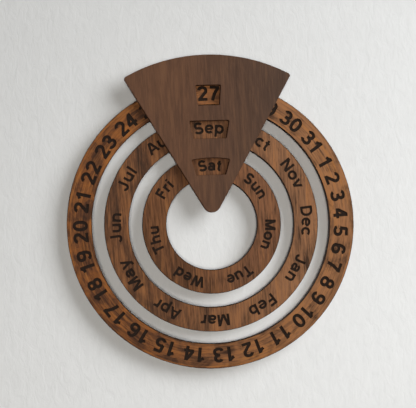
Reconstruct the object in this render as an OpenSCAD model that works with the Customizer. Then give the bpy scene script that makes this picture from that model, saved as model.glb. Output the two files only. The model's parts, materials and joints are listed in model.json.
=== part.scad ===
// Perpetual wall calendar: three marked rings turn behind a fan-shaped plate,
// and the date, the month and the weekday show through its windows.
// The fan is a sandwich: a windowed front plate, a smaller back plate, and between them
// a spacer and three rails, on which the rings hang and turn about one dial axis.
// Sizes are in millimetres.

/* [Rings] */
// Outer diameter of the date ring
date_ring_od = 300; // [280:1:320]
// Width of the date ring's band
date_band = 25.7; // [22:0.1:29]
// Gap between the date ring and the month ring
month_gap = 12.6; // [11:0.1:16]
// Width of the month ring's band
month_band = 25.3; // [22:0.1:29]
// Gap between the month ring and the weekday ring
weekday_gap = 14; // [11:0.1:16]
// Width of the weekday ring's band
weekday_band = 24.8; // [22:0.1:28]
// Thickness of the rings
ring_t = 8; // [5:0.5:12]
// Radius on the rings' edges
ring_edge_r = 0.5; // [0.3:0.1:2]

/* [Front plate] */
// Half of the angle between the fan's straight sides
fan_half = 30.2; // [28:0.1:34]
// Height above the dial axis at which the fan's sides would meet
fan_apex_rise = 3; // [0:0.1:6]
// Radius of the fan's lower tip
fan_tip_r = 9.1; // [7:0.1:12]
// Height of the fan's crown above the date ring
crown_rise = 25.6; // [20:0.1:34]
// Radius of the crown's arc
crown_r = 180; // [165:1:210]
// Radius of the crown's two corners
corner_r = 2.5; // [1.5:0.1:6]
// Thickness of the front plate
front_t = 8; // [6.5:0.5:12]
// Bevel along the front plate's visible edge
front_bevel = 0.7; // [0.3:0.1:1.2]

/* [Windows] */
// Width of the date window at its middle
date_window_w = 24.5; // [18:0.5:30]
// Height of the date window
date_window_h = 21; // [16:0.1:24]
// Distance of the date window's middle below the middle of its ring's band
date_window_drop = 3.7; // [0:0.1:5]
// Width of the month window at its middle
month_window_w = 38.2; // [30:0.1:44]
// Height of the month window
month_window_h = 18.6; // [14:0.1:22]
// Distance of the month window's middle below the middle of its ring's band
month_window_drop = 1.3; // [0:0.1:3]
// Width of the weekday window at its middle
weekday_window_w = 36; // [28:0.5:40]
// Height of the weekday window
weekday_window_h = 17.7; // [13:0.1:21]
// Distance of the weekday window's middle below the middle of its ring's band
weekday_window_drop = 0.4; // [0:0.1:3]
// Rise of the weekday window's arched top
weekday_window_arch = 2; // [0:0.1:4]
// Radius of the windows' corners
window_corner_r = 1.2; // [0.5:0.1:3]

/* [Carrier] */
// Distance of the back plate, the spacer and the rails inside the fan's outline
carrier_inset = 8; // [6:0.5:9]
// Radius of the carrier's lower tip
carrier_tip_r = 1.5; // [0.5:0.1:3]
// Thickness of the back plate
back_t = 7; // [6:0.5:10]
// Clearance between a ring and each of the two plates
ring_play = 0.4; // [0.2:0.1:1]
// Clearance between a ring and the rail that it turns on
ring_run = 0.3; // [0.1:0.1:0.8]
// Clearance outside a ring
ring_lift = 0.6; // [0.3:0.1:1]

/* [Dowels] */
// Diameter of the dowels
dowel_d = 6; // [4:0.5:7]
// Depth of a dowel in each plate
dowel_bite = 4; // [3:0.5:4.5]
// Radial clearance of a dowel in its hole
dowel_fit = 0.05; // [0.02:0.01:0.1]
// Distance of the outer dowels from the carrier's sides
dowel_edge = 7; // [5:0.5:9]
// Place of the tip's dowel, as a share of the way up the weekday rail
tip_dowel_share = 0.73; // [0.7:0.01:0.76]

/* [Screws] */
// Diameter of a carrier screw's shank
screw_d = 3.5; // [3:0.1:4.5]
// Diameter of a carrier screw's head
screw_head_d = 7; // [6:0.1:8]
// Depth of a carrier screw in the front plate
screw_bite = 5; // [3:0.5:5.5]
// Place of the tip's screw, as a share of the way up the weekday rail
tip_screw_share = 0.36; // [0.34:0.01:0.4]
// Radial clearance of a screw in its hole
screw_fit = 0.05; // [0.02:0.01:0.1]

/* [Hanger] */
// Length of the keyhole hanger
hanger_w = 50; // [44:1:56]
// Thickness of the keyhole hanger
hanger_t = 1.5; // [1:0.1:2]
// Diameter of the keyhole's round entry
keyhole_d = 9; // [8:0.1:10]
// Width of the keyhole's slot
keyhole_slot = 4.2; // [3.5:0.1:5]
// Rise of the slot's end above the round entry
keyhole_rise = 8; // [7:0.5:10]
// Metal left around the keyhole
keyhole_rim = 3; // [2.5:0.1:4]
// Distance of the round entry below the crown
keyhole_drop = 26.6; // [24.5:0.1:30]
// Depth of the pocket for the wall screw's head, behind the hanger
head_pocket_depth = 4.3; // [3:0.1:4.5]
// Clearance around the wall screw's head in its pocket
head_pocket_room = 1; // [0.5:0.1:2]
// Clearance around the hanger in its recess
hanger_fit = 0.2; // [0.05:0.05:0.3]
// Diameter of a hanger screw's shank
hanger_screw_d = 2.5; // [2:0.1:3]
// Diameter of a hanger screw's head
hanger_screw_head_d = 5; // [4:0.1:5.5]
// Length of a hanger screw
hanger_screw_l = 6; // [5:0.1:6.2]
// Distance of a hanger screw from the hanger's end
hanger_screw_end = 7; // [5:0.5:8]

/* [Wall pads] */
// Diameter of a wall pad
pad_d = 12; // [8:0.5:14]
// Thickness of a wall pad
pad_t = 2; // [1:0.5:4]
// Distance of the upper pads' middles from the carrier's sides
pad_edge = 9; // [8:0.5:12]
// Distance of the upper pads' middles below the middle of the date ring's band
upper_pad_drop = 8; // [5:0.5:20]
// Distance of the lower pad's middle above the dial axis
lower_pad_rise = 57; // [52:1:70]

/* [Hidden] */
$fn = 128;
// Facets in a full circle on the front plate's bevelled outline
fan_facets = 160;

// Overshoot of a cut past the face that it opens
cut = 1;
// Steps along each arc of a window's outline
arc_steps = 8;
// Rise of the arc that stands for a straight top of a window
no_arch = 0.001;
// Free space at the end of a blind hole
hole_end = 0.3;
// Half-angle of a countersunk head
head_half = 45;
// Size of a screw head's cross recess, as shares of the head's diameter
recess_span = 0.6;
recess_width = 0.16;
recess_depth = 0.2;

// Ring radii, from the outside in
date_out = date_ring_od / 2;
date_in = date_out - date_band;
month_out = date_in - month_gap;
month_in = month_out - month_band;
weekday_out = month_in - weekday_gap;
weekday_in = weekday_out - weekday_band;

// Radii of the spacer and the rails that lie between the rings
spacer_in = date_out + ring_lift;
date_rail_out = date_in - ring_run;
date_rail_in = month_out + ring_lift;
month_rail_out = month_in - ring_run;
month_rail_in = weekday_out + ring_lift;
weekday_rail_out = weekday_in - ring_run;

// Levels in front of the back plate's rear face
channel_t = ring_t + 2 * ring_play;
ring_z = back_t + ring_play;
front_z = back_t + channel_t;

// The fan's crown, and its right side's direction and inward normal
crown_y = date_out + crown_rise;
crown_middle = [0, crown_y - crown_r];
apex = [0, fan_apex_rise];
side_dir = [sin(fan_half), cos(fan_half)];
side_in = [-cos(fan_half), sin(fan_half)];

// Places of the dowels and screws, in the plane of the dial
spacer_mid = (spacer_in + crown_y - carrier_inset) / 2;
date_rail_mid = (date_rail_in + date_rail_out) / 2;
month_rail_mid = (month_rail_in + month_rail_out) / 2;
spacer_dowel_turn = side_turn(spacer_mid, carrier_inset + dowel_edge);
spacer_screw_turn = (spacer_dowel_turn + asin(hanger_w / 2 / spacer_mid)) / 2;
date_rail_dowel_turn = side_turn(date_rail_mid, carrier_inset + dowel_edge);
month_rail_dowel_turn = side_turn(month_rail_mid, carrier_inset + dowel_edge);
tip_low = tip_middle(carrier_inset, carrier_tip_r)[1] - carrier_tip_r;
tip_h = weekday_rail_out - tip_low;

spacer_dowels = pair(spacer_mid, spacer_dowel_turn);
spacer_screws = pair(spacer_mid, spacer_screw_turn);
date_rail_dowels = pair(date_rail_mid, date_rail_dowel_turn);
date_rail_screws = pair(date_rail_mid, date_rail_dowel_turn / 2);
month_rail_dowels = pair(month_rail_mid, month_rail_dowel_turn);
month_rail_screws = pair(month_rail_mid, month_rail_dowel_turn / 2);
tip_dowel = [[0, tip_low + tip_dowel_share * tip_h]];
tip_screw = [[0, tip_low + tip_screw_share * tip_h]];
all_dowels = concat(spacer_dowels, date_rail_dowels, month_rail_dowels, tip_dowel);
all_screws = concat(spacer_screws, date_rail_screws, month_rail_screws, tip_screw);

// The keyhole, its hanger and the wall pads
keyhole_y = crown_y - keyhole_drop;
hanger_low = keyhole_d / 2 + keyhole_rim;
hanger_high = keyhole_rise + keyhole_slot / 2 + keyhole_rim;
hanger_h = hanger_low + hanger_high;
hanger_y = keyhole_y + (hanger_high - hanger_low) / 2;
hanger_screw_x = hanger_w / 2 - hanger_screw_end;
upper_pad_r = (date_out + date_in) / 2 - upper_pad_drop;
upper_pad_turn = side_turn(upper_pad_r, carrier_inset + pad_edge);

// Angle from the fan's middle to its side, at radius r and moved in from it by a distance
function side_turn(r, inset) = fan_half - asin((fan_apex_rise * sin(fan_half) + inset) / r);

// Point at radius r, turned from the fan's middle towards the right
function polar(r, turn) = [r * sin(turn), r * cos(turn)];

// That point and its mirror image
function pair(r, turn) = [polar(r, -turn), polar(r, turn)];

// The mirror image of a point
function flip(p) = [-p[0], p[1]];

// Point along a line from start at which the distance from a middle is reach
function meet(start, dir, middle, reach) =
    let (
        from = start - middle,
        along = from * dir
    )
    start + (sqrt(reach * reach - from * from + along * along) - along) * dir;

// Middle of the fan's right corner arc, of radius r, on an outline moved in by a distance
function corner_middle(inset, r) =
    meet(apex + (inset + r) * side_in, side_dir, crown_middle, crown_r - inset - r);

// Middle of the fan's tip arc, of radius r, on an outline moved in by a distance
function tip_middle(inset, r) = apex + [0, (inset + r) / sin(fan_half)];

// Stands a part that is drawn facing up against the wall, with the keyhole at the origin
module on_wall() {
    translate([0, 0, -keyhole_y])
        rotate([90, 0, 0])
            children();
}

// Outline of the fan, moved in by a distance, with its tip and corner radii
module fan_outline(inset, tip_r, edge_r) {
    tip = tip_middle(inset, tip_r);
    corner = corner_middle(inset, edge_r);
    side = [tip - tip_r * side_in, corner - edge_r * side_in, corner];
    above = crown_middle + 1.5 * (corner - crown_middle);
    translate(tip)
        circle(r = tip_r);
    for (middle = [corner, flip(corner)])
        translate(middle)
            circle(r = edge_r);
    polygon([for (p = side) p, for (i = [2:-1:0]) flip(side[i])]);
    intersection() {
        translate(crown_middle)
            circle(r = crown_r - inset);
        polygon([corner, above, flip(above), flip(corner)]);
    }
}

// Outline of the back plate, the spacer and the rails
module carrier_outline() {
    fan_outline(carrier_inset, carrier_tip_r, corner_r);
}

// Points along an arc, between two turns from the upright, from the first step to the last
function arc(middle, r, from, to, first, last) =
    [for (i = [first:last]) middle + polar(r, from + (to - from) * i / arc_steps)];

// Right half of a window's outline, from the middle of its top round to its foot
function window_side(middle_r, w, h, arch) =
    let (
        r = window_corner_r,
        half = atan(w / 2 / middle_r),
        high = middle_r + h / 2,
        low = middle_r - h / 2,
        top_reach = high * tan(half),
        top_r = (top_reach * top_reach + arch * arch) / 2 / max(arch, no_arch),
        top = [0, high - top_r],
        upper = meet(r * polar(1, half - 90), polar(1, half), top, top_r - r),
        top_half = atan2(upper[0], upper[1] - top[1]),
        lower = [(low + r) * tan(half) - r / cos(half), low + r]
    )
    concat(
        arch > 0 ? arc(top, top_r, 0, top_half, 0, arc_steps - 1) : [[0, high]],
        arc(upper, r, top_half, half + 90, 0, arc_steps),
        arc(lower, r, half + 90, 180, 0, arc_steps)
    );

// Window with sides that point at the dial axis, a straight foot and a straight or arched top
module window_outline(middle_r, w, h, arch) {
    side = window_side(middle_r, w, h, arch);
    polygon(concat(side, [for (i = [len(side) - 1:-1:1]) flip(side[i])]));
}

// Fan with a bevel along its front edge
module bevelled_fan() {
    $fn = fan_facets;
    hull() {
        linear_extrude(front_t - front_bevel)
            fan_outline(0, fan_tip_r, corner_r);
        linear_extrude(front_t)
            fan_outline(front_bevel, fan_tip_r - front_bevel, corner_r - front_bevel);
    }
}

// Part of the carrier between two radii, as thick as the channel in which the rings turn
module channel_piece(r_low, r_high, dowels, screws) {
    translate([0, 0, back_t])
        difference() {
            linear_extrude(channel_t)
                intersection() {
                    carrier_outline();
                    difference() {
                        circle(r = r_high);
                        circle(r = r_low);
                    }
                }
            drill(dowels, dowel_d + 2 * dowel_fit, -cut, channel_t + cut);
            drill(screws, screw_d + 2 * screw_fit, -cut, channel_t + cut);
        }
}

// Round holes at a list of points, between two levels
module drill(points, d, from, to) {
    for (p = points)
        translate([p[0], p[1], from])
            cylinder(d = d, h = to - from);
}

// Ring with eased edges
module ring(r_in, r_out) {
    r = ring_edge_r;
    w = r_out - r_in;
    translate([0, 0, ring_z])
        rotate_extrude()
            translate([r_in, 0]) {
                translate([r, 0])
                    square([w - 2 * r, ring_t]);
                translate([0, r])
                    square([w, ring_t - 2 * r]);
                for (x = [r, w - r], y = [r, ring_t - r])
                    translate([x, y])
                        circle(r = r);
            }
}

// Dowels that join the two plates through a spacer or a rail
module dowels(points) {
    drill(points, dowel_d, back_t - dowel_bite, front_z + dowel_bite);
}

// Space that a countersunk screw fills, or with a clearance its hole
module screw_space(d, head_d, l, room) {
    head_h = (head_d - d) / 2 / tan(head_half);
    cylinder(d = d + 2 * room, h = l - d);
    translate([0, 0, l - d])
        cylinder(d1 = d + 2 * room, d2 = 2 * room, h = d);
    cylinder(d1 = head_d + 2 * room, d2 = d + 2 * room, h = head_h);
}

// Countersunk screw with a cross recess, driven towards the front
module screw(d, head_d, l) {
    difference() {
        screw_space(d, head_d, l, 0);
        for (turn = [0, 90])
            rotate([0, 0, turn])
                cube([recess_span * head_d, recess_width * head_d, 2 * recess_depth * head_d], center = true);
    }
}

// Screws that clamp the carrier's stack from behind
module carrier_screws(points) {
    for (p = points)
        translate(p)
            screw(screw_d, screw_head_d, front_z + screw_bite);
}

// Holes for those screws, through the stack and into the front plate
module carrier_screw_holes() {
    for (p = all_screws)
        translate(p)
            screw_space(screw_d, screw_head_d, front_z + screw_bite + hole_end, screw_fit);
}

// Places of the two hanger screws
module at_hanger_screws() {
    for (x = [-hanger_screw_x, hanger_screw_x])
        translate([x, hanger_y, 0])
            children();
}

// Strip with round ends, level across the fan
module round_strip(w, h) {
    square([w - h, h], center = true);
    for (x = [(h - w) / 2, (w - h) / 2])
        translate([x, 0])
            circle(d = h);
}

// Upright slot above the round entry, from the entry's middle to the slot's end
module keyhole_run(w) {
    translate([-w / 2, 0])
        square([w, keyhole_rise]);
    translate([0, keyhole_rise])
        circle(d = w);
}

// Felt pad on the back plate's rear face
module wall_pad(p) {
    translate([p[0], p[1], -pad_t])
        cylinder(d = pad_d, h = pad_t);
}

module front_plate() {
    color("#64483a")
        on_wall()
            difference() {
                translate([0, 0, front_z])
                    difference() {
                        bevelled_fan();
                        translate([0, 0, -cut])
                            linear_extrude(front_t + 2 * cut) {
                                window_outline(
                                    (date_out + date_in) / 2 - date_window_drop,
                                    date_window_w, date_window_h, 0
                                );
                                window_outline(
                                    (month_out + month_in) / 2 - month_window_drop,
                                    month_window_w, month_window_h, 0
                                );
                                window_outline(
                                    (weekday_out + weekday_in) / 2 - weekday_window_drop,
                                    weekday_window_w, weekday_window_h, weekday_window_arch
                                );
                            }
                    }
                drill(all_dowels, dowel_d + 2 * dowel_fit, front_z - cut, front_z + dowel_bite + hole_end);
                carrier_screw_holes();
            }
}

module back_plate() {
    pocket_w = keyhole_d + 2 * head_pocket_room;
    color("#5c4130")
        on_wall()
            difference() {
                linear_extrude(back_t)
                    carrier_outline();
                translate([0, hanger_y, -cut])
                    linear_extrude(hanger_t + cut)
                        round_strip(hanger_w + 2 * hanger_fit, hanger_h + 2 * hanger_fit);
                translate([0, keyhole_y, 0])
                    linear_extrude(hanger_t + head_pocket_depth) {
                        circle(d = pocket_w);
                        keyhole_run(pocket_w);
                    }
                at_hanger_screws()
                    screw_space(hanger_screw_d, hanger_screw_head_d, hanger_screw_l + hole_end, screw_fit);
                drill(all_dowels, dowel_d + 2 * dowel_fit, back_t - dowel_bite - hole_end, back_t + cut);
                carrier_screw_holes();
            }
}

module top_spacer() {
    color("#6e4d36")
        on_wall()
            channel_piece(spacer_in, 2 * crown_y, spacer_dowels, spacer_screws);
}

module date_rail() {
    color("#6e4d36")
        on_wall()
            channel_piece(date_rail_in, date_rail_out, date_rail_dowels, date_rail_screws);
}

module month_rail() {
    color("#6e4d36")
        on_wall()
            channel_piece(month_rail_in, month_rail_out, month_rail_dowels, month_rail_screws);
}

module weekday_rail() {
    color("#6e4d36")
        on_wall()
            channel_piece(0, weekday_rail_out, tip_dowel, tip_screw);
}

module date_ring() {
    color("#8a5a33")
        on_wall()
            ring(date_in, date_out);
}

module month_ring() {
    color("#80532f")
        on_wall()
            ring(month_in, month_out);
}

module weekday_ring() {
    color("#855630")
        on_wall()
            ring(weekday_in, weekday_out);
}

module top_spacer_dowels() {
    color("#c9a673")
        on_wall()
            dowels(spacer_dowels);
}

module date_rail_dowels() {
    color("#c9a673")
        on_wall()
            dowels(date_rail_dowels);
}

module month_rail_dowels() {
    color("#c9a673")
        on_wall()
            dowels(month_rail_dowels);
}

module weekday_rail_dowel() {
    color("#c9a673")
        on_wall()
            dowels(tip_dowel);
}

module top_spacer_screws() {
    color("#a9abac")
        on_wall()
            carrier_screws(spacer_screws);
}

module date_rail_screws() {
    color("#a9abac")
        on_wall()
            carrier_screws(date_rail_screws);
}

module month_rail_screws() {
    color("#a9abac")
        on_wall()
            carrier_screws(month_rail_screws);
}

module weekday_rail_screw() {
    color("#a9abac")
        on_wall()
            carrier_screws(tip_screw);
}

module hanger_plate() {
    color("#a9abac")
        on_wall()
            difference() {
                translate([0, hanger_y, 0])
                    linear_extrude(hanger_t)
                        round_strip(hanger_w, hanger_h);
                translate([0, keyhole_y, -cut])
                    cylinder(d = keyhole_d, h = hanger_t + 2 * cut);
                translate([0, keyhole_y, -cut])
                    linear_extrude(hanger_t + 2 * cut)
                        keyhole_run(keyhole_slot);
                at_hanger_screws()
                    screw_space(hanger_screw_d, hanger_screw_head_d, hanger_screw_l, screw_fit);
            }
}

module hanger_screws() {
    color("#a9abac")
        on_wall()
            at_hanger_screws()
                screw(hanger_screw_d, hanger_screw_head_d, hanger_screw_l);
}

module left_wall_pad() {
    color("#3c3834")
        on_wall()
            wall_pad(polar(upper_pad_r, -upper_pad_turn));
}

module right_wall_pad() {
    color("#3c3834")
        on_wall()
            wall_pad(polar(upper_pad_r, upper_pad_turn));
}

module lower_wall_pad() {
    color("#3c3834")
        on_wall()
            wall_pad([0, lower_pad_rise]);
}

front_plate();
back_plate();
top_spacer();
date_rail();
month_rail();
weekday_rail();
date_ring();
month_ring();
weekday_ring();
top_spacer_dowels();
date_rail_dowels();
month_rail_dowels();
weekday_rail_dowel();
top_spacer_screws();
date_rail_screws();
month_rail_screws();
weekday_rail_screw();
hanger_plate();
hanger_screws();
left_wall_pad();
right_wall_pad();
lower_wall_pad();
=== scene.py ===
"""Perpetual wall calendar: three engraved walnut rings that turn behind a windowed fan."""

import json
import math

import bmesh
import bpy
from bpy.props import FloatProperty, FloatVectorProperty, PointerProperty
from mathutils import Matrix, Vector, noise
from mathutils.geometry import delaunay_2d_cdt


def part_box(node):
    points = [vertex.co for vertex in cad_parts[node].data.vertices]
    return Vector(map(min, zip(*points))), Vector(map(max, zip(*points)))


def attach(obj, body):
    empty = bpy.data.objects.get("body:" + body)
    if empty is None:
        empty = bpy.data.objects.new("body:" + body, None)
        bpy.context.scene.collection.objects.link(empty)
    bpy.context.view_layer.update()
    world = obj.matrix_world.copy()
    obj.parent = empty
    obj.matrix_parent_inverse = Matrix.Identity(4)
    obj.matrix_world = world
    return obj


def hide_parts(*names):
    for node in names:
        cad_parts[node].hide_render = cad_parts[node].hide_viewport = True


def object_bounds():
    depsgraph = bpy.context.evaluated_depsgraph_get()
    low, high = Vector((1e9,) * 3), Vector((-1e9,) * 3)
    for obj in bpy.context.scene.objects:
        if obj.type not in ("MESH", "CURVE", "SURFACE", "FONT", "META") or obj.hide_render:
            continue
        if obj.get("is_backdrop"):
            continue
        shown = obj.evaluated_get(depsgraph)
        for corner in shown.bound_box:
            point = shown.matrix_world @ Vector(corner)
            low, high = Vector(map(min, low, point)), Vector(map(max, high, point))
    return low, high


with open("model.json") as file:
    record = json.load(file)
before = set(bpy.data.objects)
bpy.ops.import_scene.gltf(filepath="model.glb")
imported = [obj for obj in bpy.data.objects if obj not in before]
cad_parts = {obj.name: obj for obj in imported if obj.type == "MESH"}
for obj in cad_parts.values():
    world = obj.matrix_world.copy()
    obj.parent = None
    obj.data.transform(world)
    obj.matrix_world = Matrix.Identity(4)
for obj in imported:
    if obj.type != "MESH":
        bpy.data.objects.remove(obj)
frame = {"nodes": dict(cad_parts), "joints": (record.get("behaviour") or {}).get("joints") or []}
CAD_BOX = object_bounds()

bl_info = {
    "name": "Perpetual wall calendar",
    "version": (1, 0, 0),
    "blender": (4, 5, 0),
    "location": "3D View > Sidebar > Calendar",
    "description": "Dresses the calendar's solids as engraved walnut, steel and felt",
    "category": "Object",
}

MM = 0.001
# The dial axis runs through the three hinges, at this height in the model's frame
AXIS_Z = frame["joints"][0]["pos_m"][2]
# Steps round a quarter of an eased edge
EDGE_STEPS = 5
# Nearest that two points of a flat face may lie before they merge
MERGE = 1e-7
# Rise of the arc that stands for a straight top of a window
NO_ARCH = 1e-6
# Length of a facet round the rings
FACET = 3.2 * MM
# Steps along the arcs of the fan's tip, corners and crown, and along a window's arcs
TIP_STEPS, CORNER_STEPS, CROWN_STEPS, WINDOW_STEPS = 40, 12, 120, 8
# Places in a piece's list of finishes: its faces, its cut walls and its engraving
FACE, WALL, ENGRAVING = range(3)

MONTHS = "Jan Feb Mar Apr May Jun Jul Aug Sep Oct Nov Dec".split()
WEEKDAYS = "Sun Mon Tue Wed Thu Fri Sat".split()
DATES = [str(day) for day in range(1, 32)]
SHOWN_DATE, SHOWN_MONTH, SHOWN_WEEKDAY = "27", "Sep", "Sat"


def linear(code):
    """Turns an sRGB hex colour into the linear values that shaders take."""
    shares = [int(code[i:i + 2], 16) / 255 for i in (1, 3, 5)]
    return [s / 12.92 if s <= 0.04045 else ((s + 0.055) / 1.055) ** 2.4 for s in shares]


# Lettering: centre lines of an engraver's plain bold alphabet, one capital high.
# line is a path of points, thin a crossbar, bar a slanted stroke with level ends, and oval an
# arc given by its middle, its two radii and the angles from which and to which it runs.
BOWL = ("oval", 0.44, 0.37, 0.275, 0.285, 0, 360)
LEFT_BOWL = ("oval", 0.41, 0.37, 0.275, 0.285, 0, 360)
SHORT_STEM = ("line", 0.165, 0, 0.165, 0.74)
TALL_STEM = ("line", 0.165, 0, 0.165, 1)
ARCH = ("oval", 0.425, 0.41, 0.26, 0.245, 180, 0)
ARCH_LEG = ("line", 0.685, 0.43, 0.685, 0)

GLYPHS = {
    "0": (0.64, ("oval", 0.32, 0.5, 0.225, 0.41, 0, 360)),
    "1": (0.64, ("line", 0.37, 0, 0.37, 1), ("line", 0.1, 0.715, 0.25, 0.79, 0.36, 0.93)),
    "2": (0.64, ("oval", 0.31, 0.69, 0.22, 0.22, 170, -38), ("line", 0.495, 0.575, 0.115, 0.115),
          ("line", 0.03, 0.09, 0.6, 0.09)),
    "3": (0.64, ("oval", 0.3, 0.72, 0.2, 0.19, 160, -85), ("oval", 0.305, 0.295, 0.235, 0.205, 88, -165),
          ("line", 0.21, 0.52, 0.33, 0.52)),
    "4": (0.66, ("line", 0.44, 0, 0.44, 1), ("line", 0.02, 0.295, 0.64, 0.295),
          ("line", 0.4, 0.93, 0.09, 0.33)),
    "5": (0.64, ("line", 0.12, 0.91, 0.58, 0.91), ("line", 0.165, 0.95, 0.125, 0.45),
          ("oval", 0.305, 0.31, 0.235, 0.22, 145, -160)),
    "6": (0.64, ("oval", 0.325, 0.305, 0.225, 0.215, 0, 360), ("oval", 0.335, 0.5, 0.235, 0.41, 38, 190)),
    "7": (0.64, ("line", 0.03, 0.91, 0.61, 0.91),
          ("line", 0.545, 0.88, 0.42, 0.69, 0.315, 0.45, 0.255, 0.2, 0.23, 0)),
    "8": (0.64, ("oval", 0.32, 0.72, 0.19, 0.19, 0, 360), ("oval", 0.32, 0.3, 0.225, 0.21, 0, 360)),
    "9": (0.64, ("oval", 0.315, 0.695, 0.225, 0.215, 0, 360), ("oval", 0.305, 0.5, 0.235, 0.41, 218, 370)),
    "A": (0.95, ("bar", 0.1, 0, 0.445, 1), ("bar", 0.85, 0, 0.505, 1), ("thin", 0.22, 0.31, 0.73, 0.31)),
    "D": (1.0, ("line", 0.175, 0, 0.175, 1), ("line", 0.12, 0.915, 0.46, 0.915),
          ("line", 0.12, 0.085, 0.46, 0.085), ("oval", 0.45, 0.5, 0.37, 0.415, -90, 90)),
    "F": (0.83, ("line", 0.18, 0, 0.18, 1), ("line", 0.12, 0.915, 0.75, 0.915),
          ("line", 0.12, 0.51, 0.68, 0.51)),
    "J": (0.74, ("line", 0.5, 0.28, 0.5, 1), ("oval", 0.285, 0.3, 0.215, 0.215, 185, 360)),
    "M": (1.14, ("line", 0.17, 0, 0.17, 1), ("line", 0.97, 0, 0.97, 1),
          ("bar", 0.19, 1, 0.57, 0), ("bar", 0.95, 1, 0.57, 0)),
    "N": (1.0, ("line", 0.17, 0, 0.17, 1), ("line", 0.83, 0, 0.83, 1), ("bar", 0.19, 1, 0.81, 0)),
    "O": (1.08, ("oval", 0.54, 0.5, 0.4, 0.415, 0, 360)),
    "S": (0.92, ("oval", 0.45, 0.7, 0.27, 0.215, 20, 255), ("oval", 0.465, 0.29, 0.295, 0.205, 75, -160),
          ("line", 0.34, 0.505, 0.59, 0.475)),
    "T": (0.86, ("line", 0.03, 0.915, 0.83, 0.915), ("line", 0.43, 0, 0.43, 1)),
    "W": (1.28, ("bar", 0.1, 1, 0.37, 0), ("bar", 0.64, 1, 0.37, 0),
          ("bar", 0.64, 1, 0.91, 0), ("bar", 1.18, 1, 0.91, 0)),
    "a": (0.78, ("oval", 0.36, 0.465, 0.235, 0.19, 165, 0), ("line", 0.595, 0.48, 0.595, 0),
          ("oval", 0.335, 0.235, 0.235, 0.15, 0, 360)),
    "b": (0.85, TALL_STEM, BOWL),
    "c": (0.78, ("oval", 0.4, 0.37, 0.285, 0.285, 40, 320)),
    "d": (0.85, ("line", 0.685, 0, 0.685, 1), LEFT_BOWL),
    "e": (0.78, ("oval", 0.39, 0.37, 0.28, 0.285, 0, 318), ("thin", 0.12, 0.375, 0.66, 0.375)),
    "g": (0.85, LEFT_BOWL, ("line", 0.685, 0.74, 0.685, -0.07),
          ("oval", 0.4, -0.05, 0.285, 0.16, 0, -155)),
    "h": (0.85, TALL_STEM, ARCH, ARCH_LEG),
    "i": (0.39, ("line", 0.195, 0, 0.195, 0.74), ("line", 0.195, 0.83, 0.195, 1)),
    "l": (0.39, ("line", 0.195, 0, 0.195, 1)),
    "n": (0.85, SHORT_STEM, ARCH, ARCH_LEG),
    "o": (0.85, ("oval", 0.425, 0.37, 0.3, 0.285, 0, 360)),
    "p": (0.85, ("line", 0.165, -0.29, 0.165, 0.74), BOWL),
    "r": (0.54, SHORT_STEM, ("oval", 0.425, 0.4, 0.26, 0.255, 170, 72)),
    "t": (0.47, ("line", 0.235, 0.2, 0.235, 0.93), ("thin", 0.03, 0.665, 0.44, 0.665),
          ("oval", 0.375, 0.22, 0.14, 0.135, 180, 285)),
    "u": (0.85, ("line", 0.165, 0.31, 0.165, 0.74), ("oval", 0.425, 0.33, 0.26, 0.245, 180, 360),
          ("line", 0.685, 0, 0.685, 0.74)),
    "v": (0.78, ("bar", 0.1, 0.74, 0.39, 0), ("bar", 0.68, 0.74, 0.39, 0)),
    "y": (0.78, ("bar", 0.1, 0.74, 0.4, 0), ("bar", 0.68, 0.74, 0.385, -0.06),
          ("line", 0.405, -0.02, 0.36, -0.13, 0.27, -0.2, 0.12, -0.205)),
}

# Width of a letter's crossbar, as a share of its other strokes
CROSSBAR = 0.78
# Degrees between the points along a letter's arcs, and how square its ovals are: 2 is an ellipse
ARC_STEP = 12
SQUARENESS = 2.25
# Most half-widths by which the corner of a bent stroke stands out
MITRE = 2


def polar(r, turn):
    """Point at a radius, turned clockwise from the upright."""
    return Vector((r * math.sin(turn), r * math.cos(turn)))


def place(point, depth):
    """Puts a point of the dial's plane at a depth in front of the back plate's rear face."""
    return Vector((point[0], -depth, AXIS_Z + point[1]))


def oval_point(mid_x, mid_y, r_x, r_y, angle):
    """Point on a slightly squared oval."""
    c, s = math.cos(angle), math.sin(angle)
    bulge = 2 / SQUARENESS
    x = math.copysign(abs(c) ** bulge, c)
    y = math.copysign(abs(s) ** bulge, s)
    return Vector((mid_x + r_x * x, mid_y + r_y * y))


def stroke_cuts(kind, *numbers, width):
    """Outlines of the short straight cuts that make up one stroke of a letter."""
    half = width / 2 * (CROSSBAR if kind == "thin" else 1)
    if kind == "bar":
        low, high = sorted((Vector(numbers[:2]), Vector(numbers[2:])), key=lambda p: p.y)
        reach = Vector((half * (high - low).length / (high.y - low.y), 0))
        return [[low - reach, low + reach, high + reach, high - reach]]
    if kind == "oval":
        *shape, start, end = numbers
        steps = max(2, round(abs(end - start) / ARC_STEP))
        angles = [math.radians(start + (end - start) * i / steps) for i in range(steps + 1)]
        path = [oval_point(*shape, angle) for angle in angles]
        closed = abs(end - start) == 360
    else:
        path = [Vector(numbers[i:i + 2]) for i in range(0, len(numbers), 2)]
        closed = False
    runs = [(b - a).normalized() for a, b in zip(path, path[1:])]
    sides = []
    for i, point in enumerate(path):
        before = runs[i - 1] if i or closed else runs[0]
        after = runs[i] if i < len(runs) else runs[0] if closed else runs[-1]
        normal = (before + after).normalized().orthogonal()
        reach = half / max(1 / MITRE, normal.dot(before.orthogonal()))
        sides.append((point - normal * reach, point + normal * reach))
    cuts = []
    for start, end, run in zip(sides, sides[1:], runs):
        # Where a bend is tighter than the stroke, its inner side shrinks to a point
        edges = [
            [a, b] if (b - a).dot(run) > MERGE else [(a + b) / 2]
            for a, b in zip(start, end)
        ]
        cuts.append(edges[0] + edges[1][::-1])
    return cuts


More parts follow.
